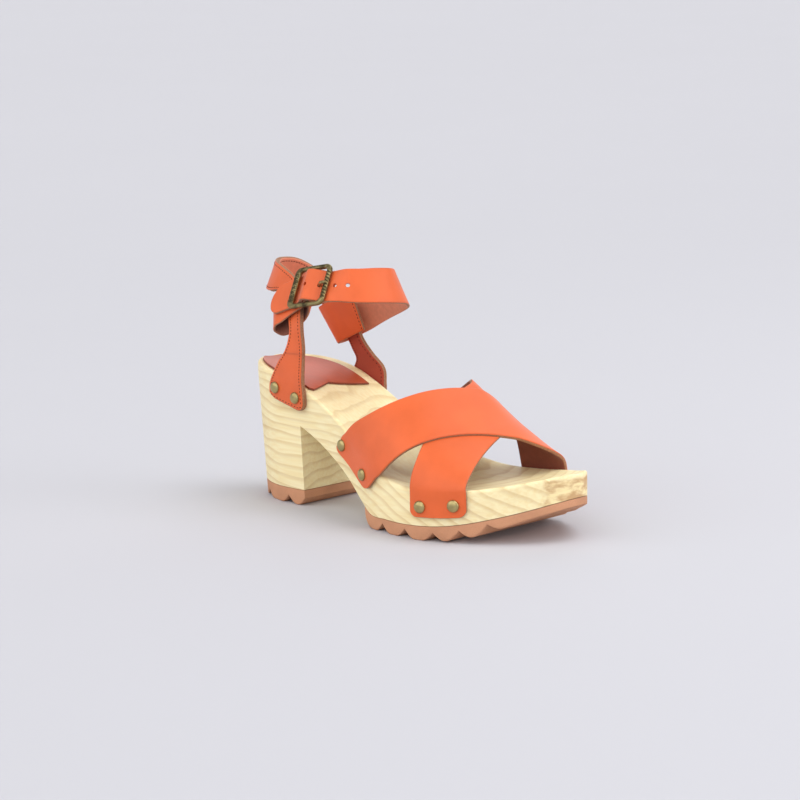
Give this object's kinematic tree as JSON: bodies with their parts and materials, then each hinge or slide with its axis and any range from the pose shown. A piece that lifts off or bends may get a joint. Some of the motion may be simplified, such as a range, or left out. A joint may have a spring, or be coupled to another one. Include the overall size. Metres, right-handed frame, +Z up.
{
  "type": "heeled clog sandal",
  "caption": "Right shoe of an open clog sandal: carved wooden sole and block heel on ribbed rubber, crossed leather straps nailed to its sides, heel sling and buckled ankle strap.",
  "frame": {"origin": "on the floor, below the middle of the shoe's box", "axes": "+X from heel to toe, +Y towards the inner (medial) side of the foot, +Z up from the floor"},
  "size_m": [0.2398, 0.0988, 0.1452],
  "materials": {
    "wood": "pale sanded wood with a satin lacquer",
    "rubber": "matte tan rubber",
    "leather": "smooth semi-matte orange leather with raw cut edges",
    "sock": "thin red-brown leather",
    "brass": "dull antique brass"
  },
  "bodies": {
    "root": {"wood_sole": "wood", "heel_rubber": "rubber", "forefoot_rubber": "rubber", "heel_sock": "sock", "upper": "leather", "heel_sling": "leather", "ankle_strap": "leather", "buckle_strap": "leather", "buckle_frame": "brass", "buckle_prong": "brass", "nail_over_strap_outer_back": "brass", "nail_over_strap_outer_front": "brass", "nail_over_strap_inner_back": "brass", "nail_over_strap_inner_front": "brass", "nail_under_strap_outer_back": "brass", "nail_under_strap_outer_front": "brass", "nail_under_strap_inner_back": "brass", "nail_under_strap_inner_front": "brass", "nail_sling_outer_back": "brass", "nail_sling_outer_front": "brass", "nail_sling_inner_back": "brass", "nail_sling_inner_front": "brass"}
  },
  "joints": []
}
